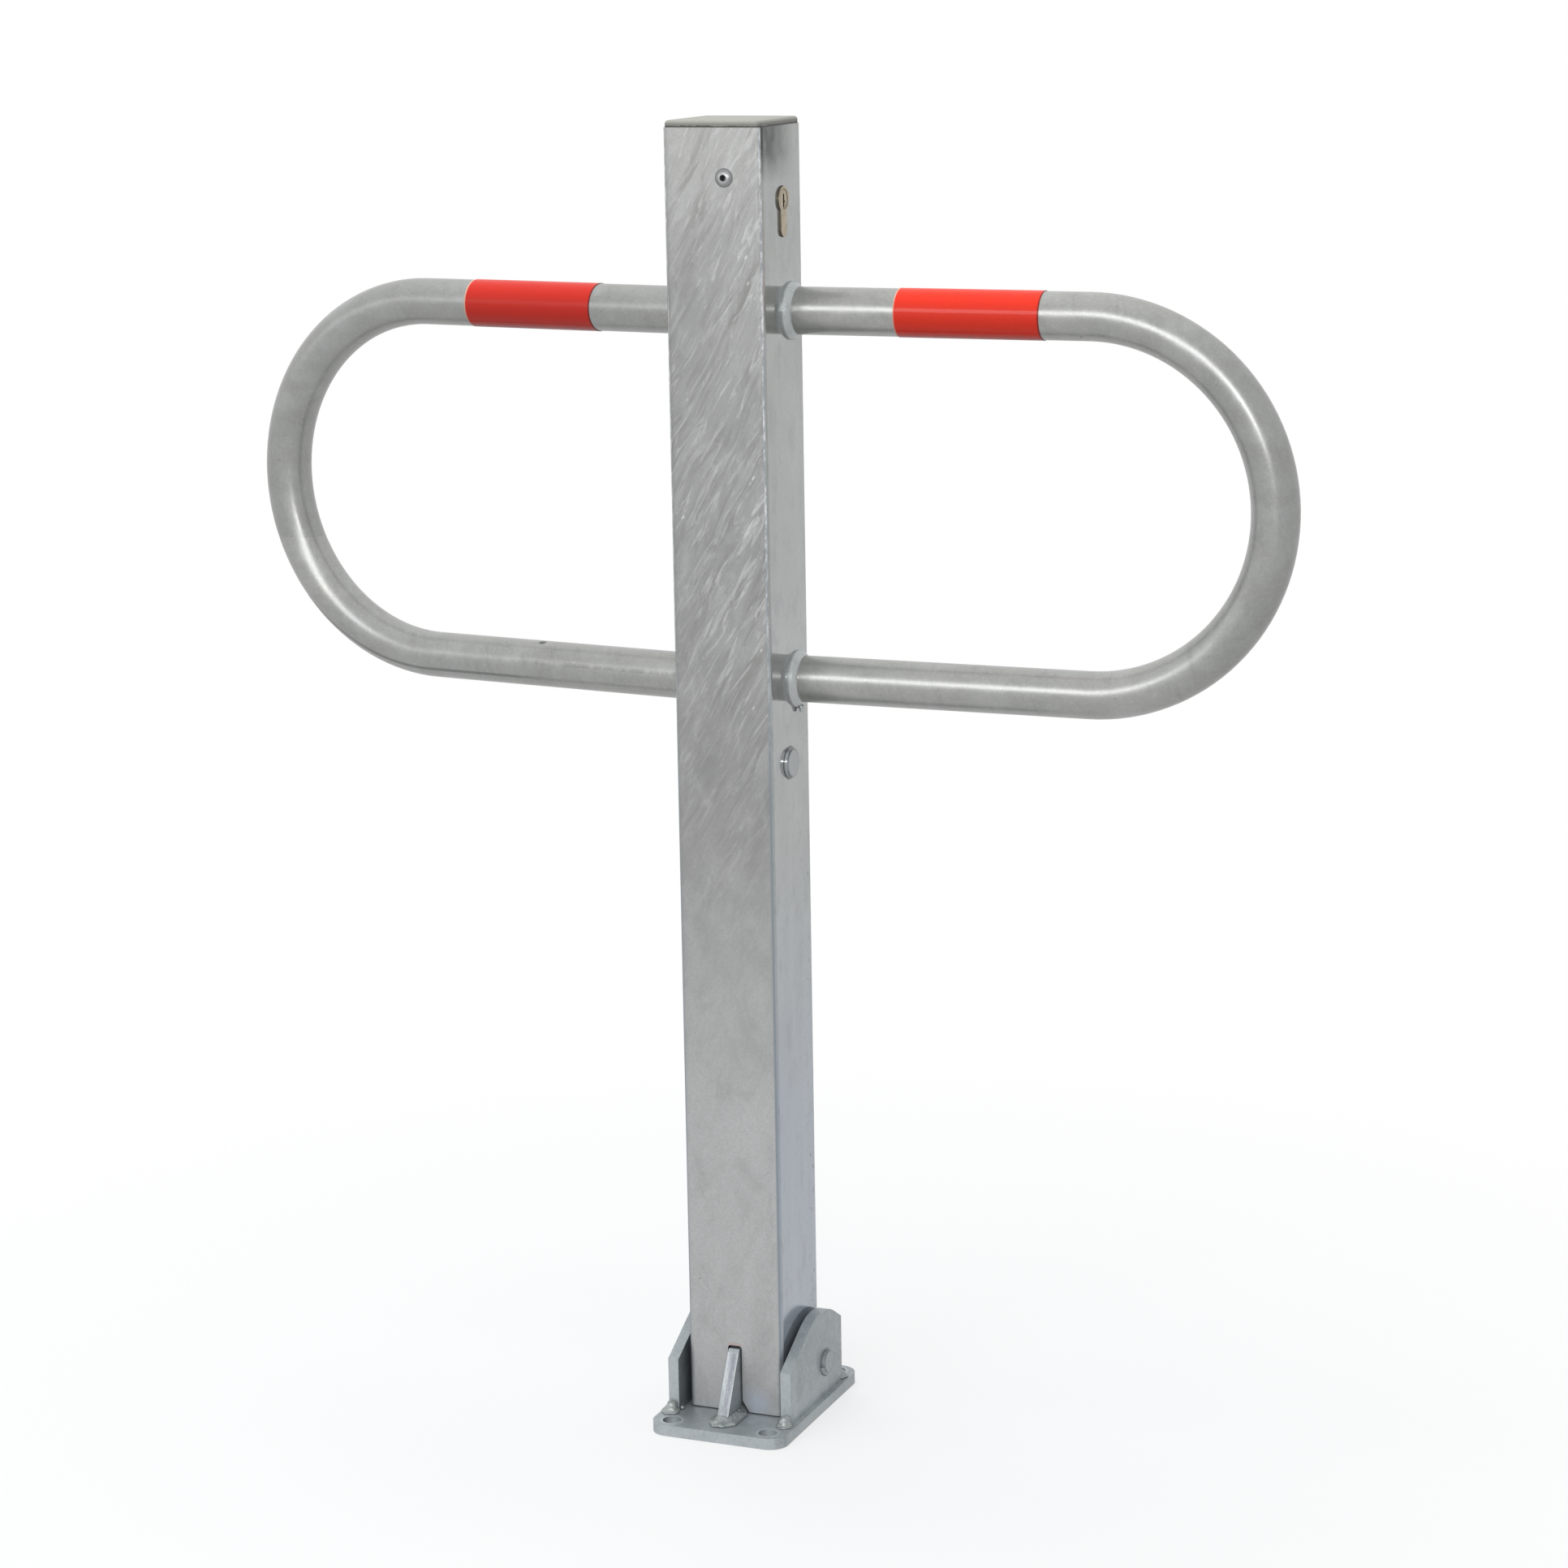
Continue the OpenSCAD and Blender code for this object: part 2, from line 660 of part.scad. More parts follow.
// Domed rivet with the pulled-out hole of its mandrel in the middle
module blind_rivet() {
    dome_r = (pow(rivet_head_d / 2, 2) + pow(rivet_head_h, 2)) / (2 * rivet_head_h);
    grip = post_wall + carrier_t;
    upset_h = 3;
    color(steel) translate([rivet_x, -half_w, rivet_z]) rotate([90, 0, 0]) difference() {
        union() {
            intersection() {
                translate([0, 0, rivet_head_h - dome_r]) sphere(dome_r);
                cylinder(d = rivet_head_d, h = rivet_head_h + over);
            }
            translate([0, 0, -grip]) cylinder(d = rivet_d, h = grip);
            translate([0, 0, -grip - upset_h]) cylinder(d = rivet_d + 2.4, h = upset_h);
        }
        translate([0, 0, -grip]) cylinder(d = rivet_bore_d, h = grip + rivet_head_h + over);
    }
}

module cylinder_body() {
    color(lock_nickel) difference() {
        translate([cylinder_end_x, 0, lock_z]) rotate([90, 0, 90])
            linear_extrude(cylinder_face_x - cylinder_end_x) profile_outline(0);
        // Gap for the cam
        translate([cam_x - cam_gap / 2, -profile_d, bridge_top]) cube([cam_gap, 2 * profile_d, profile_h]);
        // Bore for the plug, and a blind bore for its tail
        x_rod(cam_x, cylinder_face_x + over, 0, lock_z, plug_d);
        x_rod(cylinder_end_x + 1.5, cam_x, 0, lock_z, tail_d + 2 * plug_play);
        // Tapped hole for the fixing screw
        translate([cam_x, -profile_web, screw_z]) rotate([-90, 0, 0]) cylinder(d = screw_d, h = 2 * profile_web);
    }
}

// Socket head screw through the rear wall into the cylinder's bridge
module cylinder_screw() {
    socket_d = 3.5;
    color(steel) translate([cam_x, 0, screw_z]) difference() {
        union() {
            translate([0, -web_r + 1, 0]) rotate([-90, 0, 0]) cylinder(d = screw_d, h = half_w + web_r - 1);
            translate([0, half_w, 0]) rotate([-90, 0, 0]) cylinder(d = screw_head_d, h = screw_head_h);
        }
        translate([0, half_w + screw_head_h - 2, 0]) rotate([-90, 0, 0]) cylinder(d = socket_d, h = 3, $fn = 6);
    }
}

module cylinder_plug() {
    key_w = 2.2;
    key_h = 9;
    key_depth = 22;
    collar_r = plug_d / 2 - plug_play;
    tail_end = cylinder_end_x + 2;
    plug_end = cam_x + cam_gap / 2 + cam_side_gap;
    color(lock_nickel) difference() {
        union() {
            x_rod(plug_end, cylinder_face_x - 0.2, 0, lock_z, 2 * collar_r);
            x_rod(tail_end, plug_end + over, 0, lock_z, tail_d);
        }
        // Key slot with a side groove
        translate([cylinder_face_x - key_depth, -key_w / 2, lock_z - key_h / 2 - 1]) cube([2 * key_depth, key_w, key_h]);
        translate([cylinder_face_x - key_depth, 0, lock_z - key_h / 4]) cube([2 * key_depth, key_w, key_w / 2]);
    }
}

// Cam ring with a round-tipped finger, pointing up to the front while the rod is raised
module cylinder_cam() {
    tip = [-cam_reach * cos(cam_angle), cam_reach * sin(cam_angle)];
    color(steel) translate([cam_x, 0, lock_z]) difference() {
        side_plate(cam_gap - 2 * cam_side_gap) {
            circle(cam_ring_r);
            translate(tip) circle(cam_tip_r);
            rotate(180 - cam_angle) translate([0, -cam_tip_r]) square([cam_reach, 2 * cam_tip_r]);
        }
        x_rod(-cam_gap, cam_gap, 0, 0, tail_d);
    }
}

// Outline of the rod: flat bar with the fork for the cam at its top
module rod_outline() {
    slot_len = rod_travel + 2 * guide_play;
    difference() {
        union() {
            translate([rod_y - rod_w / 2, rod_end_z]) square([rod_w, bar_top_z - rod_end_z]);
            translate([rod_back_y, bar_top_z - 12])
                square([fork_mouth_y - rod_back_y, fork_z + fork_half + fork_jaw - bar_top_z + 12]);
        }
        translate([fork_floor_y, fork_z - fork_half]) square([rod_w, 2 * fork_half]);
        // Long slot that rides on the guide pin
        for (z = [guide_z, guide_z + slot_len])
            translate([rod_y, z - guide_play]) circle(d = guide_d + 2 * guide_play);
        translate([rod_y - guide_d / 2 - guide_play, guide_z - guide_play]) square([guide_d + 2 * guide_play, slot_len]);
    }
}

module lock_rod() {
    color(steel) difference() {
        translate([rod_x, 0, 0]) side_plate(rod_t) rod_outline();
        x_rod(-foot_w, foot_w, foot_y, foot_z + foot_h - foot_seat / 2, foot_pin_d);
    }
}

// Block on the rod's lower end, which drops behind the catch plate
module bolt_foot() {
    nose = 2;
    color(steel) difference() {
        side_plate(foot_w) polygon([
            [foot_y - foot_d / 2 + nose / 2, foot_z],
            [foot_y + foot_d / 2 - nose / 2, foot_z],
            [foot_y + foot_d / 2, foot_z + nose],
            [foot_y + foot_d / 2, foot_z + foot_h],
            [foot_y - foot_d / 2, foot_z + foot_h],
            [foot_y - foot_d / 2, foot_z + nose]
        ]);
        translate([rod_x - rod_t / 2, foot_y - foot_d, rod_end_z]) cube([rod_t, 2 * foot_d, foot_h]);
        x_rod(-foot_w, foot_w, foot_y, foot_z + foot_h - foot_seat / 2, foot_pin_d);
    }
}

module foot_pin() {
    color(steel) x_rod(-foot_w / 2, foot_w / 2, foot_y, foot_z + foot_h - foot_seat / 2, foot_pin_d);
}

base_plate();
cheek(-1);  // cheek_left
cheek(1);  // cheek_right
catch_plate();
cheek_welds();
catch_weld();
hinge_pin();
pin_tacks();
pivot_washers();
post_tube();
top_cap();
loop(-1, left_sweep_angle);  // loop_left
loop(1, right_sweep_angle);  // loop_right
loop_welds();
band(-1, left_sweep_angle, left_band_at);  // band_left
band(1, right_sweep_angle, right_band_at);  // band_right
pivot_sleeve();
guide_pin();
guide_plate();
lock_carrier();
blind_rivet();
cylinder_body();
cylinder_screw();
cylinder_plug();
cylinder_cam();
lock_rod();
bolt_foot();
foot_pin();
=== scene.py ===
"""Looks of the folding parking barrier: galvanised steel, weld beads, red film, cap and lock."""
import json
import math

import bpy
from mathutils import Matrix, Vector

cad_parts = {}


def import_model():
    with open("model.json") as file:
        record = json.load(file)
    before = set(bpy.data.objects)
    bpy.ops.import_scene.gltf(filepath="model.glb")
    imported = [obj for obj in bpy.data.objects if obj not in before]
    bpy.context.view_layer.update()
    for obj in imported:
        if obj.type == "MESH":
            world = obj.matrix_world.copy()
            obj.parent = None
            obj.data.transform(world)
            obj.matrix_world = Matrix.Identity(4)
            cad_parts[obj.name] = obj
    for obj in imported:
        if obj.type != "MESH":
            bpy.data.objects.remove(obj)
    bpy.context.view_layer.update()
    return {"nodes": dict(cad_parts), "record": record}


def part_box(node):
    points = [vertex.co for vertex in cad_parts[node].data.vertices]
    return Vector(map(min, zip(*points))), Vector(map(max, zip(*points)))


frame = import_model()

NODES = frame["nodes"]


def middle(box):
    return [(low + high) / 2 for low, high in zip(*box)]


def half_size(box, axis):
    return (box[1][axis] - box[0][axis]) / 2


# Camera of the photograph, in metres and degrees
LENS_MM = 90.15
SENSOR_MM = 36.0
CAMERA_AT = Vector((1.0259, -2.4065, 1.0118))
CAMERA_YAW = 22.491
CAMERA_PITCH = 12.162
CAMERA_ROLL = -0.956

# Lamps: name, place, target, width and height, watts, colour, mirrored in the steel or not
PLAIN_WHITE = (1, 1, 1)
COOL_WHITE = (0.97, 0.98, 1.0)
LAMPS = (
    ("flash", CAMERA_AT + Vector((-0.05, 0, 0.15)), (0, 0, 0.55), (0.1, 0.1), 6, PLAIN_WHITE, True),
    ("long_front", (-0.3, -3.4, 1.85), (-0.3, 0, 0.7), (3.4, 1.0), 46, COOL_WHITE, True),
    ("long_left", (-3.3, -2.6, 1.7), (-0.3, 0, 0.7), (2.6, 1.0), 6, COOL_WHITE, True),
    ("overcast", (-0.6, 0.3, 3.2), (0, 0, 0.5), (2.3, 2.3), 55, PLAIN_WHITE, False),
)
SHOWN_WHITE = (1, 1, 1, 1)
WORLD_LIGHT = (0.93, 0.97, 1, 1)
WORLD_STRENGTH = 0.6

# Floor: matt near the part, with a share of plain white that grows to all of it further out
FLOOR_HALF = 9.0
FLOOR_GREY = (0.8, 0.8, 0.8, 1)
FADE_START = 0.3
FADE_END = 0.9
WHITE_AT_START = 0.62

# Places that the materials follow, read from the frame
POST_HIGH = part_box("post_tube")[1]
HALF_POST = POST_HIGH[0]
RIVET = middle(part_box("blind_rivet"))
RIVET_R = half_size(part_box("blind_rivet"), 0)
GUIDE_PIN = middle(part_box("guide_pin"))
GUIDE_HEAD_R = half_size(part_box("guide_pin"), 1)
PLUG = middle(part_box("cylinder_plug"))
PLUG_R = half_size(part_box("cylinder_plug"), 1)
LOCK_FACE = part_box("cylinder_body")[1][0]
PIN = middle(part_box("hinge_pin"))
PIN_R = half_size(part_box("hinge_pin"), 2)
PLATE_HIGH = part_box("base_plate")[1]
UPPER_BAR = middle(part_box("band_right"))[2]
LOWER_BAR = 2 * middle(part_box("loop_right"))[2] - UPPER_BAR

# Sizes of the CAD source that no node's box gives, in metres and degrees
ANCHOR_EDGE_X = 0.014
ANCHOR_EDGE_Y = 0.011
HOLE_R = 0.0065
SLOT_GAP = 0.002
LEFT_SWEEP = 6.5

# Places worked out from these sizes and the frame
SLOT_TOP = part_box("catch_plate")[1][2] + SLOT_GAP
HOLES = [(sx * (PLATE_HIGH[0] - ANCHOR_EDGE_X), sy * (PLATE_HIGH[1] - ANCHOR_EDGE_Y), 0)
         for sx in (-1, 1) for sy in (-1, 1)]

# Marks seen in the photo, in metres
PALE_PATCH = (0.0155, 0, 0.016)
WARM_LINE_HALF = 0.0065
DARK_PATCH_HEIGHT = 0.884
FLECK = (-0.154, 0.010, 0.5376)
LINE_CHANGE = (-0.175, -0.145)

# Rounded edges and weld beads, in metres and degrees, with a share and a count of steps
EDGE_WIDTH = 0.0007
EDGE_ANGLE = 32
LUMP_SIZE = 0.005
LUMP_REACH = 0.0022
LUMP_LEVEL = 0.4
WELD_GRAIN = 0.0006
WELD_SOFTENING = 14


def linear(red, green, blue):
    """Linear colour from 0-255 display values."""
    def one(c):
        c = c / 255
        return c / 12.92 if c <= 0.04045 else ((c + 0.055) / 1.055) ** 2.4
    return (one(red), one(green), one(blue), 1.0)


class Tree:
    """A node tree with short calls for its nodes."""

    def __init__(self, tree):
        self.tree = tree

    def add(self, kind, inputs=None, **settings):
        made = self.tree.nodes.new("ShaderNode" + kind)
        for key, value in settings.items():
            setattr(made, key, value)
        for key, value in (inputs or {}).items():
            self.put(made, key, value)
        return made

    def put(self, made, key, value):
        if isinstance(value, bpy.types.NodeSocket):
            self.tree.links.new(value, made.inputs[key])
        else:
            made.inputs[key].default_value = value

    def math(self, how, a, b=0.0):
        return self.add("Math", {0: a, 1: b}, operation=how).outputs[0]

    def vector(self, how, a, b=(0, 0, 0)):
        return self.add("VectorMath", {0: a, 1: b}, operation=how).outputs

    def times(self, first, *others):
        for other in others:
            first = self.math("MULTIPLY", first, other)
        return first

    def spread(self, value, low, high, to_low=0.0, to_high=1.0):
        """The value's range low to high laid on to_low to to_high, and held beyond its ends."""
        made = self.add("MapRange", {"Value": value, "From Min": low, "From Max": high,
                                     "To Min": to_low, "To Max": to_high})
        return made.outputs[0]


class Shader(Tree):
    """A material's node tree, with patterns that follow the place on the part."""

    def __init__(self, name):
        self.material = bpy.data.materials.new(name)
        self.material.use_nodes = True
        super().__init__(self.material.node_tree)
        self.surface = self.tree.nodes["Principled BSDF"]
        coords = self.add("TexCoord").outputs
        self.place = coords["Object"]
        self.normal = coords["Normal"]

    def set(self, **inputs):
        for key, value in inputs.items():
            self.put(self.surface, key.replace("_", " "), value)

    def mapped(self, scale, turn=(0, 0, 0), shift=(0, 0, 0), where=None):
        """The place turned first and scaled afterwards, so that streaks lie along a turned axis."""
        turn = tuple(math.radians(a) for a in turn)
        turned = self.add("Mapping", {"Vector": where or self.place, "Rotation": turn}).outputs[0]
        return self.add("Mapping", {"Vector": turned, "Scale": scale, "Location": shift}).outputs[0]

    def noise(self, where, scale, detail, rough, warp=0.0):
        made = self.add("TexNoise", {"Vector": where, "Scale": scale, "Detail": detail,
                                     "Roughness": rough, "Distortion": warp})
        return made.outputs["Fac"]

    def cells(self, where, scale):
        return self.add("TexVoronoi", {"Vector": where, "Scale": scale}).outputs

    def spots(self, where, scale, radius, share):
        """Round spots in a share of the cells, with the radius as a part of a cell."""
        cell = self.cells(where, scale)
        chosen = self.math("LESS_THAN", self.split(cell["Color"])[0], share)
        return self.times(chosen, self.spread(cell["Distance"], radius, radius * 0.5))

    def bent(self, scale, reach):
        """The place pushed about softly, which bends what is drawn on it."""
        cloud = self.add("TexNoise", {"Vector": self.place, "Scale": scale, "Detail": 1.0})
        push = self.vector("SUBTRACT", cloud.outputs["Color"], (0.5, 0.5, 0.5))[0]
        push = self.vector("MULTIPLY", push, (reach, reach, reach))[0]
        return self.vector("ADD", self.place, push)[0]

    def mix(self, amount, a, b):
        return self.add("Mix", {0: amount, 6: a, 7: b}, data_type="RGBA").outputs[2]

    def blend(self, amount, low, high):
        """Between two colours in 0-255 values."""
        return self.mix(amount, linear(*low), linear(*high))

    def tint(self, colour, mask, tone, share=1.0):
        """The colour with a share of the tone, in 0-255 values, where the mask is."""
        amount = mask if share == 1.0 else self.times(mask, share)
        return self.mix(amount, colour, linear(*tone))

    def across(self, axis, centre):
        """Distance from a line along the axis through the centre."""
        keep = tuple(0.0 if i == axis else 1.0 for i in range(3))
        away = self.vector("SUBTRACT", self.place, tuple(centre))[0]
        away = self.vector("MULTIPLY", away, keep)[0]
        return self.vector("LENGTH", away)["Value"]

    def line(self, value, at, half):
        """1 where the value is within half of at, with soft borders."""
        away = self.math("ABSOLUTE", self.math("SUBTRACT", value, at))
        return self.spread(away, half, half * 0.5)

    def split(self, vector):
        return self.add("SeparateXYZ", {0: vector}).outputs

    def bump(self, height, strength, distance):
        inputs = {"Height": height, "Strength": strength, "Distance": distance}
        return self.add("Bump", inputs).outputs[0]


def zinc(name, dark, light, rough, grain, relief):
    """Dull galvanised steel: cloudy tone, faint crystals and small pits; grain is per metre."""
    s = Shader(name)
    clouds = s.noise(s.place, grain, 6, 0.6, 0.4)
    fine = s.noise(s.place, grain * 9, 4, 0.6)
    crystals = s.split(s.cells(s.place, grain * 5)["Color"])[0]
    tone = s.math("ADD", s.times(clouds, 0.7), s.times(fine, 0.2))
    tone = s.math("ADD", tone, s.times(crystals, 0.1))
    colour = s.blend(s.spread(tone, 0.3, 0.7), dark, light)
    pits = s.spots(s.place, grain * 4, 0.11, 0.12)
    colour = s.tint(colour, pits, (88, 92, 94), 0.5)
    s.set(Base_Color=colour, Metallic=0.55, Roughness=s.spread(tone, 0.3, 0.7, *rough))
    s.set(Normal=s.bump(s.math("ADD", clouds, s.times(fine, 0.3)), 0.6, relief))
    return s, colour


def slanting_runs(s):
    """Fine bright ridges and broad bands and troughs of zinc, fading towards the foot."""
    x, _, z = s.split(s.place)
    bent = s.bent(12, 0.014)
    fine = s.noise(s.mapped((230, 230, 25), (0, -30, 0), where=bent), 1.0, 5, 0.68, 1.3)
    broad = s.noise(s.mapped((92, 92, 10), (0, -27, 0), (4, 0, 2), where=bent), 1.0, 4, 0.62, 1.2)
    patches = s.noise(s.mapped(scale=(20, 20, 9), shift=(7, 2, 0)), 1.0, 3, 0.55)
    reach = s.times(s.spread(z, 0.34, 0.58, 0.16, 1.0), s.spread(x, -0.03, 0.025, 0.6, 1.0),
                    s.spread(patches, 0.35, 0.6, 0.45, 1.0))
    ridges = s.times(s.spread(fine, 0.50, 0.66), reach)
    bands = s.times(s.spread(broad, 0.42, 0.62), reach)
    troughs = s.times(s.spread(broad, 0.47, 0.33), s.times(reach, 0.7))
    return ridges, bands, troughs


def post_front_tone(s, clouds, grain, foot, runs):
    """Front and rear of the post."""
    ridges, bands, troughs = runs
    x, _, z = s.split(s.place)
    mottle = s.noise(s.mapped(scale=(46, 46, 24), shift=(3, 8, 1)), 1.0, 5, 0.7, 0.8)
    tone = s.blend(s.spread(clouds, 0.3, 0.7), (142, 142, 141), (160, 160, 158))
    tone = s.tint(tone, s.spread(z, 0.78, 0.88, 0, 0.8), (183, 183, 180))
    tone = s.tint(tone, foot, (188, 189, 189), 0.9)
    tone = s.tint(tone, s.spread(mottle, 0.35, 0.5, 0.3, 0), (146, 146, 146))
    tone = s.tint(tone, s.spread(mottle, 0.5, 0.66, 0, 0.25), (196, 198, 198))
    tone = s.tint(tone, troughs, (136, 135, 132))
    tone = s.tint(tone, bands, (182, 183, 182), 0.42)
    tone = s.tint(tone, s.spread(grain, 0.3, 0.7, 0, 0.34), (138, 138, 138))
    tone = s.tint(tone, ridges, (212, 213, 211), 0.68)

    # Only on the front: a pale patch at the right of the slot and a warm line over it
    not_rear = s.math("LESS_THAN", s.split(s.normal)[1], 0.0)
    pale = s.times(s.spread(s.across(1, PALE_PATCH), 0.015, 0.003), not_rear)
    tone = s.tint(tone, pale, (190, 200, 218), 0.45)
    over_slot = s.times(s.line(z, SLOT_TOP + 0.0008, 0.0016), s.line(x, 0, WARM_LINE_HALF), not_rear)
    return s.tint(tone, over_slot, (190, 150, 138), 0.4)


def post_side_tone(s, clouds, grain, foot, on_head):
    """Sides of the post, bluer low down, with the guide pin's head."""
    y, z = s.split(s.place)[1:3]
    nx = s.split(s.normal)[0]
    on_right = s.math("GREATER_THAN", nx, 0.0)
    upright = s.noise(s.mapped(scale=(90, 90, 6), shift=(1, 5, 2)), 1.0, 3, 0.55)
    dirt = s.noise(s.mapped(scale=(60, 60, 34), shift=(2, 2, 6)), 1.0, 5, 0.7)
    tone = s.blend(s.spread(clouds, 0.3, 0.7), (168, 171, 168), (186, 188, 185))
    tone = s.tint(tone, foot, (166, 175, 190), 0.7)
    tone = s.tint(tone, s.spread(upright, 0.42, 0.62, 0, 0.3), (184, 188, 192))
    tone = s.tint(tone, s.spread(grain, 0.35, 0.7, 0, 0.25), (136, 141, 143))

    # Dark patch near the top of the right side, and faint dirt all over
    from_dark_patch = s.math("ABSOLUTE", s.math("SUBTRACT", z, DARK_PATCH_HEIGHT))
    dark_patch = s.times(s.spread(from_dark_patch, 0.029, 0.010), s.spread(y, 0.022, -0.012),
                     s.spread(dirt, 0.3, 0.54, 0.6, 1.0), on_right)
    tone = s.tint(tone, dark_patch, (62, 64, 64))
    tone = s.tint(tone, s.spread(dirt, 0.52, 0.64, 0, 0.3), (138, 142, 144))

    # Guide pin's head: painted shadow round it on the post, painted shade at its rim, painted highlight
    # on its wall
    from_pin = s.across(0, GUIDE_PIN)
    off_head = s.math("SUBTRACT", on_right, on_head)
    head_shadow_ring = s.times(off_head, s.line(from_pin, GUIDE_HEAD_R + 0.0003, 0.0014))
    tone = s.tint(tone, head_shadow_ring, (72, 76, 80), 0.8)
    tone = s.tint(tone, on_head, (150, 157, 160), 0.6)
    rim = s.times(s.line(from_pin, GUIDE_HEAD_R - 0.0006, 0.0011), on_head)
    tone = s.tint(tone, rim, (78, 82, 86), 0.55)
    head_wall_highlight = s.times(on_head, s.math("LESS_THAN", nx, 0.5))
    tone = s.tint(tone, head_wall_highlight, (206, 210, 213))

    # Dark specks low on the sides, towards the rear
    specks = s.noise(s.mapped(scale=(300, 300, 150)), 1.0, 2, 0.5)
    specks = s.times(s.spread(specks, 0.66, 0.72), s.spread(y, 0.0, 0.02), s.spread(z, 0.5, 0.3))
    return s.tint(tone, specks, (92, 98, 108), 0.6)


def post_zinc():
    """The post: slanting zinc runs on its front and rear, smooth bluish sides, a painted highlight
    along the near edge.
    """
    s = Shader("post_zinc")
    x, _, z = s.split(s.place)
    nx, ny = s.split(s.normal)[0:2]
    turning = s.math("ABSOLUTE", s.times(nx, ny))
    clouds = s.noise(s.place, 16, 5, 0.6, 0.3)
    grain = s.noise(s.place, 760, 3, 0.7)
    foot = s.spread(z, 0.42, 0.22)
    on_head = s.math("GREATER_THAN", x, HALF_POST + 0.0003)
    front = s.times(s.spread(s.math("ABSOLUTE", ny), 0.6, 0.9), s.math("SUBTRACT", 1.0, on_head))
    runs = slanting_runs(s)
    ridges, bands, _ = runs
    colour = s.mix(front, post_side_tone(s, clouds, grain, foot, on_head),
                   post_front_tone(s, clouds, grain, foot, runs))

    # Near edge: a painted highlight, pale and dotted above, bluish below
    dots = s.noise(s.mapped(scale=(500, 500, 150)), 1.0, 3, 0.7)
    edge = s.blend(s.spread(dots, 0.45, 0.62), (168, 174, 178), (236, 238, 239))
    edge = s.tint(edge, s.spread(z, 0.62, 0.45), (142, 151, 158))
    colour = s.mix(s.times(s.spread(turning, 0.44, 0.485), 0.85), colour, edge)

    # Bright flecks, most of them near the edge, and small dark pits
    share = s.spread(x, 0.0, 0.034, 0.03, 0.3)
    flecks = s.spots(s.mapped((200, 200, 80), (0, -30, 0)), 1.0, 0.17, share)
    flecks = s.times(flecks, s.times(s.spread(z, 0.42, 0.55), front))
    colour = s.tint(colour, flecks, (226, 227, 226), 0.6)
    pits = s.math("MAXIMUM", s.spots(s.place, 120, 0.06, 0.12), s.spots(s.place, 75, 0.055, 0.10))
    colour = s.tint(colour, pits, (90, 94, 97), 0.55)
    s.set(Base_Color=colour, Metallic=0.6)

    # The sides mirror the loops more sharply beside their weld rings
    rough_front = s.spread(bands, 0, 1, 0.58, 0.46)
    rounding = s.times(s.spread(turning, 0.02, 0.2), 0.35)
    rough_side = s.math("ADD", s.spread(clouds, 0.3, 0.7, 0.1, 0.2), rounding)
    beside = s.math("MAXIMUM", s.line(z, UPPER_BAR, 0.03), s.line(z, LOWER_BAR, 0.03))
    rough_side = s.times(rough_side, s.spread(beside, 0, 0.5, 1.0, 0.45))
    s.set(Roughness=s.add("Mix", {0: front, 2: rough_side, 3: rough_front}).outputs[0])
    relief = s.times(s.math("ADD", ridges, s.times(bands, 0.5)), front)
    relief = s.math("ADD", relief, s.times(clouds, 0.5))
    s.set(Normal=s.bump(s.math("ADD", relief, s.times(grain, 0.12)), 0.6, 0.0003))
    return s.material


def red_film():
    """Glossy reflective film: fine beads, a painted highlight and painted shade at the cut ends,
    speckled painted shade on the lower side.
    """
    s = Shader("red_film")
    beads = s.split(s.cells(s.place, 900)["Color"])[0]
    clouds = s.noise(s.place, 30, 3, 0.5)
    colour = s.blend(s.spread(beads, 0, 1, 0, 0.25), (236, 44, 14), (248, 58, 22))
    colour = s.tint(colour, s.spread(clouds, 0.4, 0.7, 0, 0.3), (226, 36, 12))
    on_left = s.math("LESS_THAN", s.split(s.place)[0], 0.0)
    colour = s.tint(colour, on_left, (176, 20, 8), 0.6)
    # Speckled painted shade on the faces turned down
    under = s.spread(s.split(s.normal)[2], -0.75, -0.95)
    under = s.times(under, s.spread(s.noise(s.place, 500, 2, 0.6), 0.4, 0.6))
    colour = s.tint(colour, under, (110, 22, 12), 0.6)
    # Painted highlight at each band's left cut end and painted shade at its right cut end
    for node, turn in (("band_left", 180 - LEFT_SWEEP), ("band_right", 0)):
        heading = Vector((math.cos(math.radians(turn)), math.sin(math.radians(turn)), 0))
        run = [heading.dot(v.co) for v in NODES[node].data.vertices]
        along = s.vector("DOT_PRODUCT", s.place, tuple(heading))["Value"]
        left_to_right = sorted((min(run), max(run)), key=lambda end: end * heading.x)
        for end, tone in zip(left_to_right, ((232, 196, 172), (96, 14, 10))):
            colour = s.tint(colour, s.line(along, end, 0.0013), tone, 0.75)
    s.set(Base_Color=colour, Roughness=0.5, Specular_IOR_Level=0.2)
    s.set(Coat_Weight=0.35, Coat_Roughness=0.05)
    s.set(Normal=s.bump(beads, 0.15, 0.00005))
    return s.material


def cap_plastic():
    """Grey-beige moulded cap, weathered, with a painted shadow along the seam where it meets the tube.
    """
    s = Shader("cap_plastic")
    clouds = s.noise(s.place, 40, 5, 0.6)
    grain = s.noise(s.place, 900, 2, 0.5)
    colour = s.blend(s.spread(clouds, 0.3, 0.7), (134, 133, 126), (154, 153, 145))
    # Painted shadow along the seam, on the lowest part of the cap over the tube
    over_tube = s.math("SUBTRACT", s.split(s.place)[2], POST_HIGH[2])
    seam_edge = s.spread(s.noise(s.place, 120, 3, 0.6), 0.3, 0.7, 0.0005, 0.0016)
    colour = s.tint(colour, s.math("LESS_THAN", over_tube, seam_edge), (58, 56, 52), 0.9)
    # Painted highlight on the rounded upper edge
    rim = s.line(s.split(s.normal)[2], 0.6, 0.5)
    colour = s.tint(colour, rim, (176, 174, 166), 0.4)
    s.set(Base_Color=colour, Roughness=s.spread(clouds, 0.3, 0.7, 0.45, 0.6))
    s.set(Normal=s.bump(s.math("ADD", grain, clouds), 0.25, 0.0002))
    return s.material


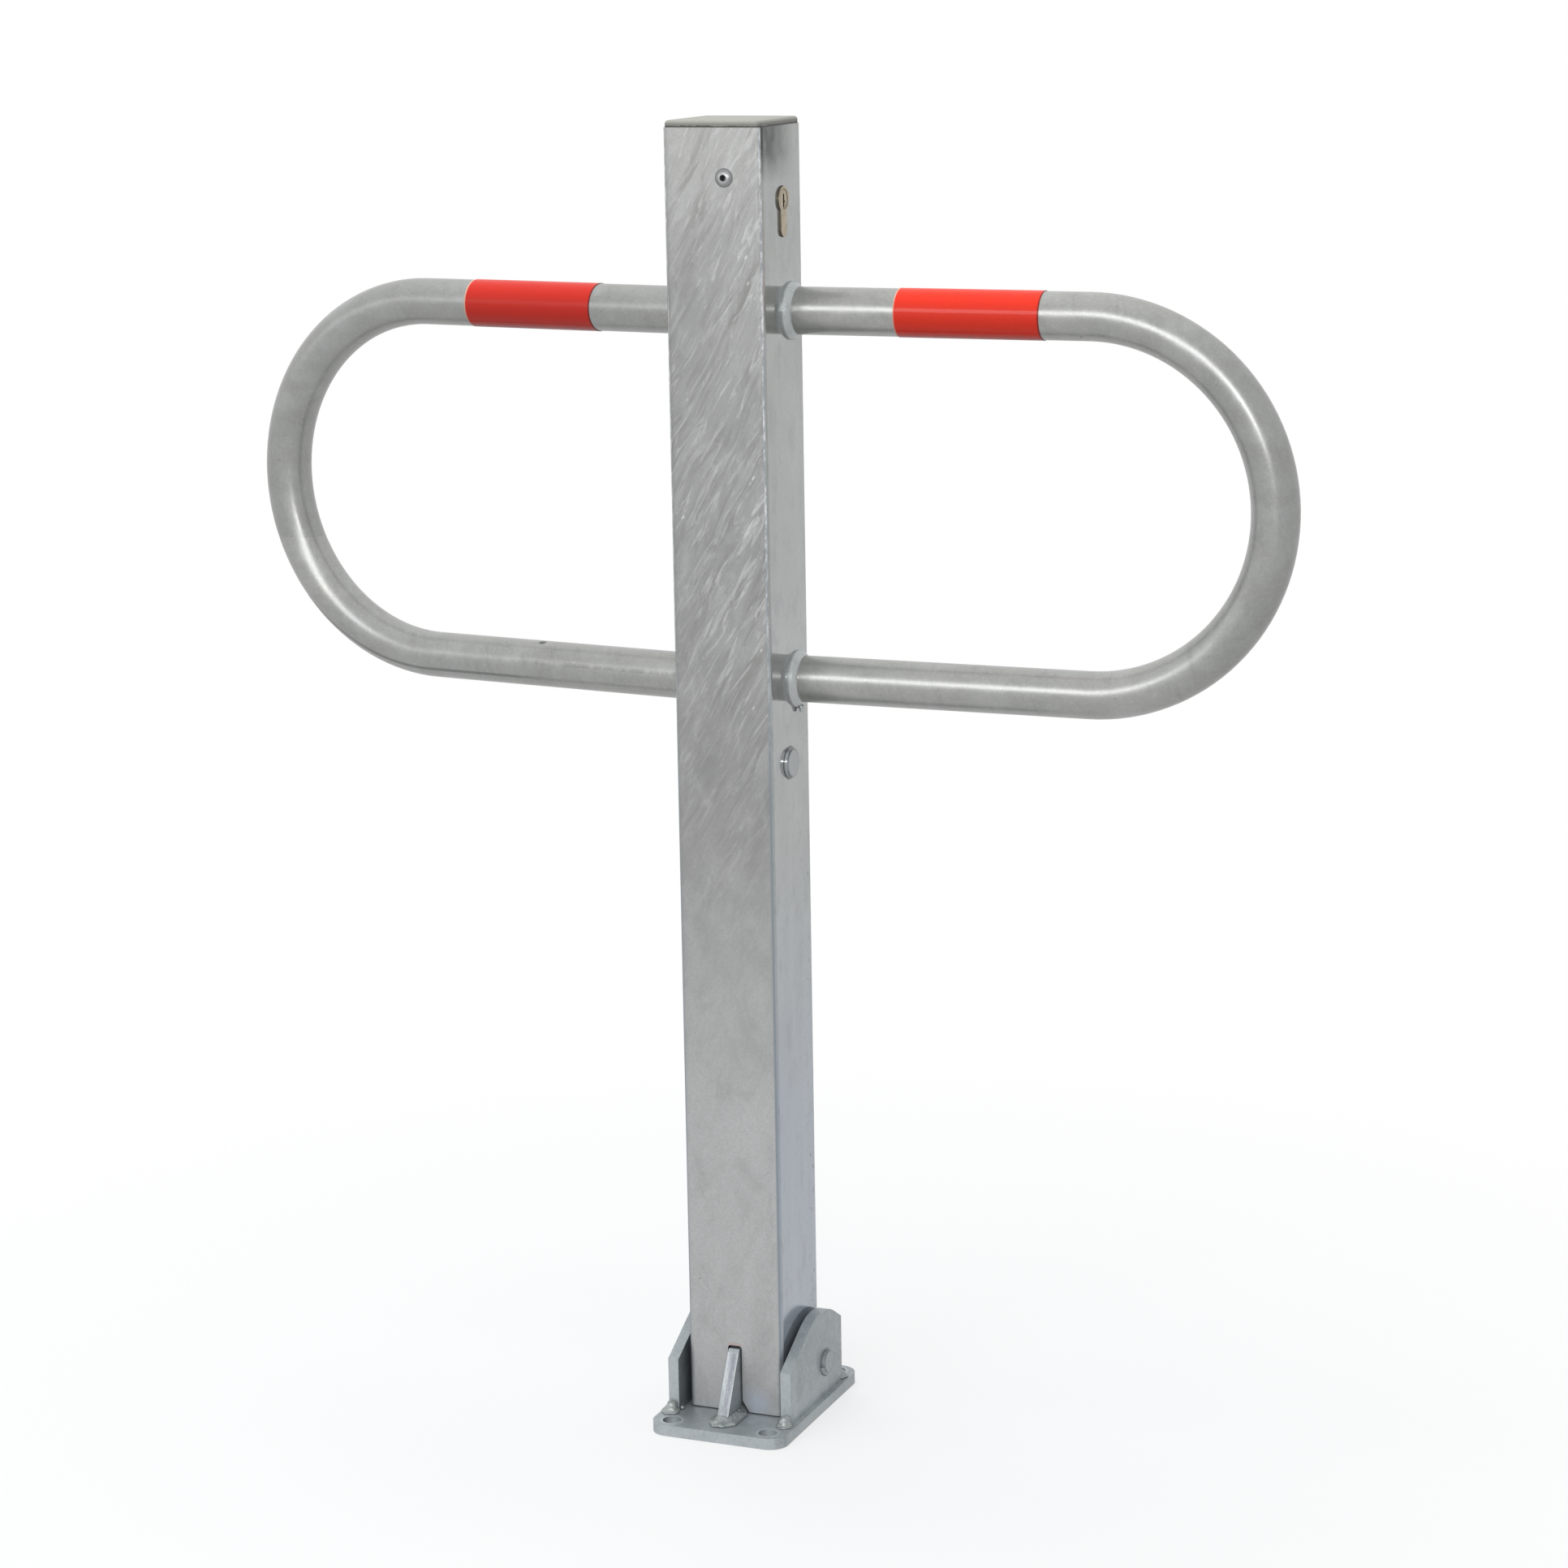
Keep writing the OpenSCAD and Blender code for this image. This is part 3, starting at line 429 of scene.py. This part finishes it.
def lock_nickel():
    """Matt nickel plate over brass: painted shade on the walls, thin circle round the plug, brown key
    slot.
    """
    s = Shader("lock_nickel")
    wear = s.noise(s.place, 160, 5, 0.6)
    lines = s.noise(s.mapped(scale=(40, 900, 900)), 1.0, 3, 0.5)
    from_plug = s.across(0, PLUG)
    colour = s.blend(s.spread(wear, 0.35, 0.7), (186, 176, 158), (164, 152, 126))
    colour = s.tint(colour, s.line(from_plug, PLUG_R, 0.00045), (74, 62, 50), 0.75)
    # Painted shade on the walls beside the lock's face
    walls = s.spread(s.math("ABSOLUTE", s.split(s.normal)[0]), 0.8, 0.4)
    colour = s.tint(colour, walls, (84, 78, 68), 0.7)
    sunk = s.math("LESS_THAN", s.split(s.place)[0], LOCK_FACE - 0.0004)
    deep = s.times(sunk, s.spread(from_plug, PLUG_R, PLUG_R - 0.0008))
    colour = s.tint(colour, s.times(deep, s.times(walls, 0.85)), (96, 48, 36))
    s.set(Base_Color=colour, Metallic=0.7, Roughness=s.spread(wear, 0.3, 0.7, 0.35, 0.5))
    s.set(Normal=s.bump(lines, 0.15, 0.00008))
    return s.material


def base_zinc():
    """Base plate, cheeks, catch plate and hinge pin: bluish zinc with stains, and painted light on the
    faces turned to the front.
    """
    s, colour = zinc("base_zinc", (146, 152, 155), (178, 184, 187), (0.4, 0.58), 30.0, 0.0003)
    x = s.split(s.place)[0]
    nx, ny, nz = s.split(s.normal)
    stains = s.spread(s.noise(s.mapped(scale=(14, 14, 26)), 1.0, 5, 0.65, 0.8), 0.5, 0.75)
    colour = s.tint(colour, stains, (112, 121, 125), 0.4)
    wet = s.noise(s.mapped(scale=(60, 60, 60), shift=(1, 4, 3)), 1.0, 4, 0.7, 1.0)
    colour = s.tint(colour, s.spread(wet, 0.52, 0.66), (186, 192, 196), 0.35)
    # Painted light on the faces turned to the front
    colour = s.tint(colour, s.spread(ny, -0.7, -0.95), (192, 198, 202), 0.45)

    # Slope of the catch plate: lines along it, and painted shade at the right of its middle
    draw_lines = s.noise(s.mapped(scale=(420, 60, 14), shift=(2, 1, 5)), 1.0, 3, 0.6)
    slope_tone = s.blend(s.spread(draw_lines, 0.38, 0.6), (140, 146, 149), (184, 188, 191))
    slope_tone = s.tint(slope_tone, s.line(x, 0.0009, 0.0026), (112, 110, 122), 0.6)
    slope = s.times(s.line(nz, 0.46, 0.2), s.spread(ny, -0.6, -0.8))
    colour = s.mix(s.times(slope, 0.85), colour, slope_tone)

    # Dark and pale specks, and bright nicks
    specks = s.noise(s.mapped(scale=(620, 620, 620), shift=(2, 7, 4)), 1.0, 4, 0.7)
    colour = s.tint(colour, s.spread(specks, 0.52, 0.66, 0, 0.2), (98, 107, 110))
    colour = s.tint(colour, s.spread(specks, 0.46, 0.34, 0, 0.22), (206, 212, 214))
    colour = s.tint(colour, s.spots(s.place, 90, 0.08, 0.14), (222, 226, 226), 0.7)

    # Painted shade on the inner face of the left cheek, pale rims of the anchor holes, painted shade
    # round the pin's end
    inner = s.times(s.spread(nx, 0.8, 0.95), s.math("LESS_THAN", x, -HALF_POST))
    colour = s.tint(colour, inner, (70, 77, 80), 0.45)
    for hole in HOLES:
        rim = s.times(s.line(s.across(2, hole), HOLE_R + 0.0008, 0.0016), s.spread(nz, 0.5, 0.9))
        colour = s.tint(colour, rim, (206, 212, 214), 0.3)
    round_pin = s.times(s.line(s.across(0, PIN), PIN_R + 0.0006, 0.0014), s.spread(nx, 0.6, 0.9))
    s.set(Base_Color=s.tint(colour, round_pin, (74, 78, 84), 0.55))
    return s.material


def loop_zinc():
    """Loop tubes: satin zinc with cloudy patches, faint ticks across and small pits."""
    s, colour = zinc("loop_zinc", (154, 155, 152), (178, 179, 177), (0.26, 0.36), 22.0, 0.0001)
    x, _, z = s.split(s.place)
    nz = s.split(s.normal)[2]
    patches = s.noise(s.mapped(scale=(9, 60, 60), shift=(3, 1, 2)), 1.0, 4, 0.6, 0.5)
    colour = s.tint(colour, s.spread(patches, 0.42, 0.66, 0, 0.45), (158, 156, 149))
    ticks = s.noise(s.mapped(scale=(160, 26, 26), turn=(0, 16, 0)), 1.0, 3, 0.6)
    colour = s.tint(colour, s.spread(ticks, 0.56, 0.7, 0, 0.2), (122, 122, 120))
    speckle = s.noise(s.place, 520, 2, 0.6)
    colour = s.tint(colour, s.spread(speckle, 0.5, 0.8, 0, 0.4), (196, 196, 192))

    # Left lower bar: a painted reflection as a dark line below that fades to the right, and dashes that
    # begin where it fades
    on_left = s.math("LESS_THAN", x, 0.0)
    low_left = s.times(on_left, s.math("LESS_THAN", z, 0.56))
    dashes = s.noise(s.mapped(scale=(150, 9, 9), shift=(1, 2, 3)), 1.0, 4, 0.65)
    fading = s.spread(x, *LINE_CHANGE, 1.0, 0.35)
    growing = s.times(s.spread(x, *LINE_CHANGE, 0.25, 1.0), s.spread(dashes, 0.38, 0.6, 0.1, 1.0))
    for at, half, dark, share in ((-0.5, 0.09, 0.6, fading), (0.22, 0.11, 0.4, growing)):
        run = s.times(s.line(nz, at, half), low_left, share)
        colour = s.tint(colour, run, (84, 86, 88), dark)

    # Painted shade on the left upper bar, the right bend and the left lower bar, small pits, and a dark
    # fleck on the left lower bar
    shaded_bar_and_bend = s.math("MAXIMUM", s.times(on_left, s.math("GREATER_THAN", z, 0.6)), s.spread(x, 0.29, 0.34))
    colour = s.tint(colour, shaded_bar_and_bend, (112, 115, 116), 0.2)
    colour = s.tint(colour, low_left, (112, 115, 116), 0.12)
    pits = s.math("MAXIMUM", s.spots(s.place, 110, 0.07, 0.16), s.spots(s.place, 160, 0.09, 0.10))
    colour = s.tint(colour, pits, (84, 86, 88), 0.5)
    from_fleck = s.vector("DISTANCE", s.place, FLECK)["Value"]
    s.set(Base_Color=s.tint(colour, s.spread(from_fleck, 0.0034, 0.0022, 0, 0.85), (48, 50, 52)))
    return s.material


def weld_zinc():
    """Weld beads: lumpy zinc, paler on the rings of the loops than at the foot."""
    s, colour = zinc("weld_zinc", (126, 132, 132), (172, 176, 175), (0.24, 0.4), 110.0, 0.0006)
    on_ring = s.math("GREATER_THAN", s.split(s.place)[2], 0.3)
    s.set(Base_Color=s.tint(colour, on_ring, (204, 208, 209), 0.5))
    return s.material


def inner_steel():
    """Plain zinc of the pieces inside the post and of the washers beside it."""
    s, _ = zinc("inner_steel", (120, 122, 124), (150, 152, 154), (0.3, 0.45), 60.0, 0.0001)
    return s.material


def rivet_steel():
    """Rivet: painted shade in the hole of the pulled mandrel, a painted highlight ring round it,
    painted shade as a groove and a border.
    """
    s, colour = zinc("rivet_steel", (146, 147, 147), (176, 177, 177), (0.3, 0.45), 120.0, 0.0001)
    away = s.across(1, RIVET)
    # Painted highlight ring round the hole, painted shade as a groove and along the border
    rings = (
        (0.0031, 0.0009, 0.22, (212, 214, 214)),
        (0.0047, 0.0010, 0.35, (112, 114, 116)),
        (RIVET_R - 0.0004, 0.0007, 0.5, (80, 83, 86)),
    )
    for at, half, share, tone in rings:
        colour = s.tint(colour, s.line(away, at, half), tone, share)
    s.set(Base_Color=s.tint(colour, s.spread(away, 0.0022, 0.0018), (20, 20, 21)))
    return s.material


def dress_nodes():
    """Gives every CAD node the material of its slot in the record."""
    makers = (post_zinc, loop_zinc, base_zinc, weld_zinc, inner_steel, rivet_steel, lock_nickel,
              cap_plastic, red_film)
    materials = {make.__name__: make() for make in makers}
    for entry in frame["record"]["subparts"]:
        slots = NODES[entry["node"]].data.materials
        slots.clear()
        slots.append(materials[entry["material_slot"]])


def camera():
    yaw, pitch, roll = (math.radians(a) for a in (CAMERA_YAW, CAMERA_PITCH, CAMERA_ROLL))
    back = Vector((math.sin(yaw) * math.cos(pitch), -math.cos(yaw) * math.cos(pitch), math.sin(pitch)))
    right = Vector((math.cos(yaw), math.sin(yaw), 0))
    up = back.cross(right)
    side = math.cos(roll) * right + math.sin(roll) * up
    top = -math.sin(roll) * right + math.cos(roll) * up
    data = bpy.data.cameras.new("camera")
    data.lens = LENS_MM
    data.sensor_width = SENSOR_MM
    data.sensor_fit = "HORIZONTAL"
    obj = bpy.data.objects.new("camera", data)
    turn = Matrix((side, top, back)).transposed().to_4x4()
    obj.matrix_world = Matrix.Translation(CAMERA_AT) @ turn
    bpy.context.scene.collection.objects.link(obj)
    bpy.context.scene.camera = obj


def area_light(name, place, target, size, power, colour, mirrored):
    data = bpy.data.lights.new(name, "AREA")
    data.shape = "RECTANGLE"
    data.size, data.size_y = size
    data.energy = power
    data.color = colour
    obj = bpy.data.objects.new(name, data)
    obj.location = place
    obj.visible_glossy = mirrored
    obj.rotation_euler = (Vector(target) - Vector(place)).to_track_quat("-Z", "Y").to_euler()
    bpy.context.scene.collection.objects.link(obj)


def seen_directly(n):
    """1 for rays from the camera and for mirrored or refracted ones."""
    path = n.add("LightPath").outputs
    seen = n.math("MAXIMUM", path["Is Camera Ray"], path["Is Glossy Ray"])
    return n.math("MAXIMUM", seen, path["Is Transmission Ray"])


def world():
    """White to the camera and in reflections, a plain pale light to all else."""
    made = bpy.data.worlds.new("studio")
    bpy.context.scene.world = made
    made.use_nodes = True
    made.node_tree.nodes.clear()
    n = Tree(made.node_tree)
    lit = n.add("Background", {"Color": WORLD_LIGHT, "Strength": WORLD_STRENGTH})
    shown = n.add("Background", {"Color": SHOWN_WHITE})
    mix = n.add("MixShader", {0: seen_directly(n), 1: lit.outputs[0], 2: shown.outputs[0]})
    n.add("OutputWorld", {"Surface": mix.outputs[0]})


def floor():
    """Pale floor that shows white and keeps the object's shadow."""
    mesh = bpy.data.meshes.new("floor")
    corners = [(sx * FLOOR_HALF, sy * FLOOR_HALF, 0) for sx, sy in ((-1, -1), (1, -1), (1, 1), (-1, 1))]
    mesh.from_pydata(corners, [], [(0, 1, 2, 3)])
    obj = bpy.data.objects.new("floor", mesh)
    bpy.context.scene.collection.objects.link(obj)
    made = bpy.data.materials.new("floor")
    made.use_nodes = True
    made.node_tree.nodes.clear()
    n = Tree(made.node_tree)
    glow = n.add("Emission", {"Strength": seen_directly(n)})
    matt = n.add("BsdfDiffuse", {"Color": FLOOR_GREY})

    # Matt under and round the object, so that its shadow shows, and plain white further out
    away = n.vector("LENGTH", n.add("TexCoord").outputs["Object"])["Value"]
    fade = n.spread(away, FADE_START, FADE_END, WHITE_AT_START, 1.0)
    share = n.math("MAXIMUM", fade, n.add("LightPath").outputs["Is Glossy Ray"])
    mix = n.add("MixShader", {0: share, 1: matt.outputs[0], 2: glow.outputs[0]})
    n.add("OutputMaterial", {"Surface": mix.outputs[0]})
    mesh.materials.append(made)


def soften_edges():
    """Small rounded edges on the sawn plates."""
    for name in ("base_plate", "cheek_left", "cheek_right", "catch_plate"):
        bevel = NODES[name].modifiers.new("soft_edge", "BEVEL")
        bevel.width = EDGE_WIDTH
        bevel.segments = 2
        bevel.limit_method = "ANGLE"
        bevel.angle_limit = math.radians(EDGE_ANGLE)


def lump_welds():
    """Uneven surface of the weld beads at the foot, laid over their plain CAD form."""
    lumps = bpy.data.textures.new("lumps", "CLOUDS")
    lumps.noise_scale = LUMP_SIZE
    lumps.noise_depth = 2
    for name in ("cheek_welds", "catch_weld"):
        modifiers = NODES[name].modifiers
        even = modifiers.new("even", "REMESH")
        even.mode = "VOXEL"
        even.voxel_size = WELD_GRAIN
        even.use_smooth_shade = True
        soft = modifiers.new("soft", "SMOOTH")
        soft.factor = 0.5
        soft.iterations = WELD_SOFTENING
        push = modifiers.new("lumps", "DISPLACE")
        push.texture = lumps
        push.texture_coords = "GLOBAL"
        push.strength = LUMP_REACH
        push.mid_level = LUMP_LEVEL


camera()
world()
floor()
for lamp in LAMPS:
    area_light(*lamp)
dress_nodes()
soften_edges()
lump_welds()

bpy.context.scene.view_settings.view_transform = "Standard"
